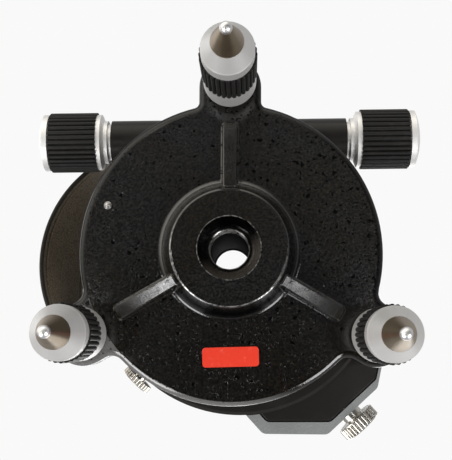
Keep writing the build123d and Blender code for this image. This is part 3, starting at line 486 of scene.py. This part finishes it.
def moulded_plastic(name, colour, dusty):
    """Moulded plastic with a fine spark texture."""
    f = Finish(name)
    spark = f.noise(2600.0, 2.0)
    dust = f.step(f.noise(300.0, 4.0), 0.52, 0.78)
    tint = f.mix(dust * 0.35, colour, dusty)
    return f.set(Base_Color=tint, Roughness=0.42 + 0.16 * spark, Specular_IOR_Level=0.4,
                 Normal=f.bump(spark, 0.03 * MM, 0.6)).material


def lamp_lens():
    """Green lamp lens, paler in its middle."""
    f = Finish("lamp_lens")
    x, y, _ = f.split(f.centred(STATUS_LAMP_CENTRE))
    core = 1 - f.step(f.radius(x, y), 0.0, 1.9 * MM)
    tint = f.mix(core, (0.02, 0.16, 0.04, 1), (0.10, 0.62, 0.16, 1))
    return f.set(Base_Color=tint, Roughness=0.12 + 0.08 * f.noise(900.0), Coat_Weight=0.6).material


def board_mask():
    """Green solder mask with the weave of the board showing through."""
    f = Finish("board_mask")
    x, y, _ = f.split()
    weave = f.lines(x, 2500.0) * f.lines(y, 2500.0)
    tint = f.mix(weave, (0.010, 0.09, 0.035, 1), (0.02, 0.14, 0.05, 1))
    return f.set(Base_Color=tint, Roughness=0.35 + 0.1 * weave).material


def strap_hide():
    """Olive-brown hide: black cut edge, fine grain, dark creases along both edges, their darkness partly
    creased hide and partly painted shade in the grooves.
    """
    f = Finish("leather_hide")
    across = f.node("ShaderNodeAttribute", {"attribute_name": "across"}, out="Fac")
    grain = f.node("ShaderNodeTexVoronoi", {"feature": "DISTANCE_TO_EDGE"}, {
        "Vector": f.place, "Scale": 1100.0})
    pebble = f.step(grain, 0.02, 0.22)
    fine = f.noise(1500.0, 4.0)
    wear = f.step(f.noise(60.0, 4.0), 0.40, 0.72)
    hide = f.mix(wear, (0.400, 0.327, 0.228, 1), (0.520, 0.432, 0.315, 1))
    hide = f.mix(pebble * 0.25, (0.09, 0.070, 0.047, 1), hide)
    off_middle = abs(across - 0.5)
    # Near-black crease lines: partly creased hide, partly painted shade in the grooves; the black cut
    # edge is edge paint
    creases_edge_and_shade = f.band(off_middle, 0.396, 0.014) * 0.9 + f.step(off_middle, 0.44, 0.47) * 0.92
    hide = f.mix(creases_edge_and_shade, hide, grey(0.006, 0.12))
    return f.set(Base_Color=hide, Roughness=0.50 + 0.16 * fine, Specular_IOR_Level=0.3,
                 Normal=f.bump(pebble + 0.4 * fine, 0.04 * MM, 0.5)).material


# Each finish with the pieces that wear it
FINISHES = {
    "black_enamel_pitted": (pitted_enamel(), ["base_casting"]),
    "black_enamel_smooth": (smooth_enamel(), ["drum_housing", "battery_box", "chassis_plate"]),
    "grey_enamel": (hammered_grey(), ["top_housing", "battery_lid", "lantern_cap", "lantern_base"]),
    "dark_steel": (dark_steel("dark_steel"), ["spindle_nut", "strap_lugs"]),
    "spindle_black": (spindle_black(), ["spindle"]),
    "knurled_steel": (dark_steel("dark_steel_knurled", RING_R), ["circle_ring"]),
    "foot_steel": (turned_steel("steel_foot", 2, FOOT_BALL_Z),
                   ["foot_point_front", "foot_point_right", "foot_point_left"]),
    "shaft_steel": (turned_steel("steel_shaft", 0), ["worm_shaft"]),
    "upright_steel": (turned_steel("steel_upright", 2),
                      ["rotor_shaft", "rotor_bearings", "clutch_spring", "clutch_nut", "motor",
                       "motor_pulley"]),
    "screw_steel": (plated("steel_bright", grey(0.62, 0.03), grey(0.42, 0.05), 0.26),
                    ["spindle_screws", "housing_screws", "index_pin"]),
    "foot_aluminium": (satin_aluminium("aluminium_foot", 2, 0.58),
                       ["foot_screw_front", "foot_screw_right", "foot_screw_left", "rotor_head",
                        "rotor_pulley", "bearing_housing", "battery_cells"]),
    "knob_aluminium": (satin_aluminium("aluminium_knob", 0, 0.86),
                       ["knob_core_left", "knob_core_right"]),
    "black_rubber": (moulded_rubber(), ["foot_grip_front", "foot_grip_right", "foot_grip_left",
                                        "knob_grip_left", "knob_grip_right", "drive_belt"]),
    "brass": (plated("brass_turned", (0.66, 0.46, 0.18, 1), (0.44, 0.30, 0.12, 1), 0.28),
              ["foot_bushes", "worm_wheel", "thrust_washer", "axis_bushes", "worm_bushes",
               "laser_module"]),
    "nickel": (plated("nickel_plate", (0.60, 0.575, 0.53, 1), (0.36, 0.335, 0.29, 1), 0.20),
               ["thumb_screw", "clamp_screw"]),
    "label": (sticker_film(), ["blank_label"]),
    "clear_glass": (clear_glass(), ["lantern_glass", "penta_prism"]),
    "vial_fluid": (vial_fluid(), ["vial_glass"]),
    "black_plastic": (moulded_plastic("black_plastic", grey(0.016), grey(0.06)),
                      ["vial_holder", "speed_button"]),
    "red_plastic": (moulded_plastic("red_plastic", (0.42, 0.016, 0.012, 1), (0.5, 0.12, 0.1, 1)),
                    ["power_button"]),
    "lamp": (lamp_lens(), ["status_lamp"]),
    "board": (board_mask(), ["circuit_board"]),
}
for finish, members in FINISHES.values():
    for name in members:
        mesh = nodes[name].data
        mesh.materials.clear()
        mesh.materials.append(finish)


# Modelling helpers


def clear_selection():
    """Deselect every piece, so that an operator acts on the new one alone."""
    for thing in bpy.context.view_layer.objects:
        thing.select_set(False)


def start(name):
    """Take the primitive that was just added as a new piece."""
    piece = bpy.context.view_layer.objects.active
    piece.name = name
    piece.data.name = name
    return piece


def apply_modifier(piece, kind, **settings):
    """Add a modifier and apply it."""
    made = piece.modifiers.new(kind.lower(), kind)
    for key, value in settings.items():
        setattr(made, key, value)
    bpy.ops.object.modifier_apply(modifier=made.name)


def settle(piece, finish, body, angle=30.0):
    """Apply its place, smooth it and give it its finish, body and slot."""
    clear_selection()
    piece.select_set(True)
    bpy.context.view_layer.objects.active = piece
    bpy.ops.object.transform_apply(location=True, rotation=True, scale=True)
    bpy.ops.object.shade_smooth_by_angle(angle=radians(angle))
    piece.data.materials.clear()
    piece.data.materials.append(finish)
    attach(piece, body)
    return piece


# Tripod thread: a thread profile screwed up the bore of the bush

PITCH = 25.4 / 11 * MM
MAJOR_R = 7.92 * MM
MINOR_R = 6.9 * MM
BUSH_SPREAD = 1.28
THREAD_SEGMENTS = 72

# Inward and upward steps of one turn's profile, in thread depths and in pitches
THREAD_STEPS = [(0, 0.125), (-1, 0.3125), (0, 0.25), (1, 0.3125)]


def thread_bush():
    """Bush with the female thread cut in its bore."""
    clear_selection()
    turns = ceil((BUSH_TOP_Z - MOUTH_Z) / PITCH) + 2
    bpy.ops.mesh.primitive_plane_add(size=MM)
    bush = start("tripod_thread")
    bpy.ops.object.mode_set(mode="EDIT")
    bpy.ops.mesh.select_all(action="SELECT")
    bpy.ops.mesh.merge(type="CENTER")
    bpy.ops.transform.translate(value=(MAJOR_R, 0, MOUTH_Z - 1.5 * PITCH))
    for inward, rise in THREAD_STEPS:
        bpy.ops.mesh.extrude_vertices_move(
            TRANSFORM_OT_translate={"value": (inward * (MAJOR_R - MINOR_R), 0, rise * PITCH)})
    bpy.ops.object.mode_set(mode="OBJECT")
    apply_modifier(bush, "SCREW", axis="Z", angle=2 * pi, screw_offset=PITCH, iterations=turns,
                   steps=THREAD_SEGMENTS, render_steps=THREAD_SEGMENTS)
    bpy.ops.object.mode_set(mode="EDIT")
    bpy.ops.mesh.select_all(action="SELECT")
    bpy.ops.mesh.remove_doubles(threshold=0.005 * MM)
    for height, below in ((MOUTH_Z, True), (BUSH_TOP_Z, False)):
        bpy.ops.mesh.select_all(action="SELECT")
        bpy.ops.mesh.bisect(plane_co=(0, 0, height), plane_no=(0, 0, 1), clear_inner=below,
                            clear_outer=not below, use_fill=False)
    bpy.ops.mesh.select_mode(type="EDGE")
    bpy.ops.mesh.select_all(action="DESELECT")
    bpy.ops.mesh.select_non_manifold()
    bpy.ops.mesh.extrude_edges_move()
    bpy.ops.transform.resize(value=(BUSH_SPREAD, BUSH_SPREAD, 1), center_override=(0, 0, 0))
    bpy.ops.mesh.bridge_edge_loops()
    bpy.ops.mesh.select_all(action="SELECT")
    bpy.ops.mesh.normals_make_consistent(inside=False)
    bpy.ops.mesh.select_mode(type="VERT")
    bpy.ops.object.mode_set(mode="OBJECT")
    settle(bush, thread_steel(), "base", 35)
    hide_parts("thread_bush")


thread_bush()

# Hand strap: a creased strip of hide on a broad arc between two tight ones, its lower edge fuller

STRAP_LOW_Z = 44.5 * MM
STRAP_TOP_Z = 67.5 * MM
STRAP_CENTRE = Vector((-28.4 * MM, 1.5 * MM, 0))
STRAP_R = 47.0 * MM
STRAP_END_R = 16.0 * MM
STRAP_REAR = (157.0, 70.0)
STRAP_FRONT = (236.0, 310.0)
STRAP_TOP_REACH = 0.53
STRAP_HALF_T = 0.95 * MM
STRAP_STATIONS = 120
STRAP_RIPPLE = 0.10 * MM


def on_circle(centre, radius, angle):
    """Point of a circle in plan, at an angle in degrees."""
    return centre + Vector((cos(radians(angle)), sin(radians(angle)), 0)) * radius


def strap_plan(share):
    """Plan point of the lower edge, from the rear lug at 0 to the front lug at 1."""
    arcs = []
    for (turn, last), sign in ((STRAP_REAR, 1), (STRAP_FRONT, -1)):
        middle = on_circle(STRAP_CENTRE, STRAP_R - STRAP_END_R, turn)
        arcs.append((middle, STRAP_END_R, last, turn) if sign > 0 else (middle, STRAP_END_R, turn, last))
    arcs.insert(1, (STRAP_CENTRE, STRAP_R, STRAP_REAR[0], STRAP_FRONT[0]))
    lengths = [abs(b - a) * r for _, r, a, b in arcs]
    run = share * sum(lengths)
    for (centre, radius, a, b), length in zip(arcs, lengths):
        if run <= length or centre is arcs[-1][0]:
            return on_circle(centre, radius, a + (b - a) * min(run / length, 1.0))
        run -= length


STRAP_FIRST = strap_plan(0.0)
STRAP_CHORD = (strap_plan(1.0) - STRAP_FIRST).normalized()


def strap_point(share, height):
    """Middle of the hide at a share of its length and of its width."""
    low = strap_plan(share)
    along = STRAP_CHORD * (low - STRAP_FIRST).dot(STRAP_CHORD)
    top = STRAP_FIRST + along + (low - STRAP_FIRST - along) * STRAP_TOP_REACH
    point = low.lerp(top, height)
    point.z = STRAP_LOW_Z + (STRAP_TOP_Z - STRAP_LOW_Z) * height
    return point


def strap_frame(share, height):
    """Middle point and outward normal of the hide."""
    step = 0.004
    ahead = strap_point(min(share + step, 1), height) - strap_point(max(share - step, 0), height)
    up = strap_point(share, 1.0) - strap_point(share, 0.0)
    return strap_point(share, height), up.cross(ahead).normalized()


def strap_section():
    """Width share and thickness share of one outline of the hide, with a crease by each edge."""
    outer = [(0.012, 0.62), (0.035, 0.92), (0.065, 1.0), (0.092, 0.98), (0.104, 0.70), (0.116, 0.98),
             (0.14, 1.0)]
    outer += [(0.14 + 0.09 * i, 1.0) for i in range(1, 4)]
    half = [(0.0, 0.25)] + outer + [(0.5, 1.0)]
    face = half + [(1 - w, t) for w, t in reversed(half[:-1])]
    return face + [(w, -t) for w, t in reversed(face)]


def hand_strap():
    """Sections of the hide set along its line and skinned."""
    section = strap_section()
    points, across = [], []
    for i in range(STRAP_STATIONS + 1):
        share = i / STRAP_STATIONS
        for width, depth in section:
            middle, normal = strap_frame(share, width)
            wave = sin(61 * share + 5 * width) * sin(23 * share) * (0.1 < width < 0.9)
            ripple = STRAP_RIPPLE * wave * (0.3 - 0.7 * min(depth, 0))
            points.append(middle + normal * (STRAP_HALF_T * depth - ripple))
            across.append(width)
    count = len(section)
    faces = []
    for i in range(STRAP_STATIONS):
        for j in range(count):
            a, b = i * count + j, i * count + (j + 1) % count
            faces.append((a, b, b + count, a + count))
    faces.append(tuple(range(count)))
    faces.append(tuple(reversed(range(STRAP_STATIONS * count, STRAP_STATIONS * count + count))))
    clear_selection()
    bpy.ops.mesh.primitive_plane_add(size=MM)
    strap = start("leather_strap")
    strap.data.clear_geometry()
    strap.data.from_pydata([tuple(p) for p in points], [], faces)
    layer = strap.data.attributes.new("across", "FLOAT", "POINT")
    layer.data.foreach_set("value", across)
    bpy.ops.object.mode_set(mode="EDIT")
    bpy.ops.mesh.select_all(action="SELECT")
    bpy.ops.mesh.normals_make_consistent(inside=False)
    bpy.ops.object.mode_set(mode="OBJECT")
    settle(strap, strap_hide(), "head", 60)
    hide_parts("hand_strap")


hand_strap()

# Circular level: bubble under the crown and a ring to centre it

VIAL_XY = (-30 * MM, 2 * MM)
BUBBLE_R = 2.5 * MM
BUBBLE_FLAT = 0.22
BUBBLE_OFF = (0.5 * MM, -0.3 * MM)
VIAL_RING_R = 3.6 * MM
VIAL_RING_WIRE_R = 0.16 * MM


def vial_bubble():
    """Flat bubble, a little off the middle."""
    clear_selection()
    bpy.ops.mesh.primitive_uv_sphere_add(segments=32, ring_count=16, radius=BUBBLE_R)
    bubble = start("vial_bubble")
    bpy.ops.object.mode_set(mode="EDIT")
    bpy.ops.mesh.select_all(action="SELECT")
    bpy.ops.transform.resize(value=(1, 1, BUBBLE_FLAT))
    bpy.ops.transform.translate(value=(VIAL_XY[0] + BUBBLE_OFF[0], VIAL_XY[1] + BUBBLE_OFF[1], BUBBLE_Z))
    bpy.ops.object.mode_set(mode="OBJECT")
    f = Finish("vial_air")
    f.set(Base_Color=(0.95, 0.98, 0.80, 1), Roughness=0.05 + 0.02 * f.noise(300.0), IOR=1.05,
          Transmission_Weight=0.6)
    settle(bubble, f.material, "head", 60)


def vial_ring():
    """Black ring round the bubble's place."""
    clear_selection()
    bpy.ops.mesh.primitive_torus_add(major_radius=VIAL_RING_R, minor_radius=VIAL_RING_WIRE_R,
                                     major_segments=64, minor_segments=8,
                                     location=(*VIAL_XY, VIAL_RING_Z))
    ring = start("vial_ring")
    settle(ring, FINISHES["black_plastic"][0], "head", 60)


vial_bubble()
vial_ring()

# Stage: pale floor that is clear from below, pale room, soft lamps

FLOOR_SIZE = 8.0
BACKDROP = 0.947

# Name, place, aim, size in metres and power in watts of each lamp
LAMPS = [
    ("under_left", (-0.205, 0.056, -0.573), (-0.02, 0.012, 0), (0.05, 0.08), 0.24),
    ("under_right", (0.180, 0.054, -0.580), (0.02, 0.012, 0), (0.05, 0.08), 0.11),
    ("rear_left", (-0.40, 0.46, -0.33), (0, 0, 0), (0.34, 0.42), 3.4),
    ("rear_right", (0.44, 0.40, -0.33), (0, 0, 0), (0.34, 0.42), 3.4),
    ("key_above", (0.20, 0.40, 1.00), (0, 0, 0.03), (0.7, 0.7), 4.0),
    ("fill_above", (-0.75, -0.25, 0.55), (0, 0, 0.03), (0.7, 0.7), 1.6),
]

# Camera under the base, nearly square to it
FOCAL_LENGTH_MM = 79.646
CAMERA_PLACE = (0.0070382, 0.0323509, -0.3463544)
CAMERA_TURN = (-3.0290460, -0.0230794, -0.0051752)


def floor():
    """Pale slab under the feet that is not seen from below."""
    clear_selection()
    bpy.ops.mesh.primitive_plane_add(size=FLOOR_SIZE, location=(0, 0, cad_low.z))
    slab = start("floor")
    f = Finish("floor_pale")
    f.set(Base_Color=grey(0.86, 0.005), Roughness=0.7)
    facing = f.node("ShaderNodeNewGeometry", out="Backfacing")
    clear = f.node("ShaderNodeBsdfTransparent")
    f.show(facing, Wire(f, f.shader.outputs[0]), clear)
    slab.data.materials.append(f.material)
    slab.visible_shadow = False
    slab.visible_glossy = False


def tent():
    """Pale room: dim straight below, a warm glow low at the front left, plain white to the camera."""
    world = bpy.data.worlds.new("tent")
    bpy.context.scene.world = world
    sky = Sky(world)
    x, y, z = sky.split()
    room = 0.02 + 0.13 * sky.step(-1 * y, -0.03, 0.22) + 0.40 * sky.step(z, -0.70, 0.05)
    low = sky.step(z, -0.96, -0.72) * (1 - sky.step(z, -0.06, 0.06))
    front_left = sky.step(-0.62 * x - 0.78 * y, 0.10, 0.80)
    glow = low * 1.8 * front_left
    colour = sky.node("ShaderNodeCombineColor", None, {
        "Red": room + glow, "Green": room + 0.96 * glow, "Blue": room + 0.86 * glow})
    seen = sky.node("ShaderNodeLightPath", out="Is Camera Ray")
    sky.set(Color=sky.mix(seen, colour, grey(BACKDROP)))


def soft_lamp(name, place, aim, size, power):
    """Area lamp turned to its aim and hidden from the camera."""
    light = bpy.data.lights.new(name, "AREA")
    light.shape = "RECTANGLE"
    light.size, light.size_y = size
    light.energy = power
    lamp = bpy.data.objects.new(name, light)
    bpy.context.scene.collection.objects.link(lamp)
    lamp.location = place
    lamp.rotation_euler = (Vector(aim) - Vector(place)).to_track_quat("-Z", "Y").to_euler()
    lamp.visible_camera = False


floor()
tent()
for lamp in LAMPS:
    soft_lamp(*lamp)

view = bpy.data.cameras.new("camera")
view.sensor_fit = "HORIZONTAL"
view.sensor_width = 36.0
view.lens = FOCAL_LENGTH_MM
view.clip_start = 0.01
camera = bpy.data.objects.new("camera", view)
bpy.context.scene.collection.objects.link(camera)
camera.location = CAMERA_PLACE
camera.rotation_euler = CAMERA_TURN
bpy.context.scene.camera = camera
bpy.context.scene.view_settings.view_transform = "Standard"
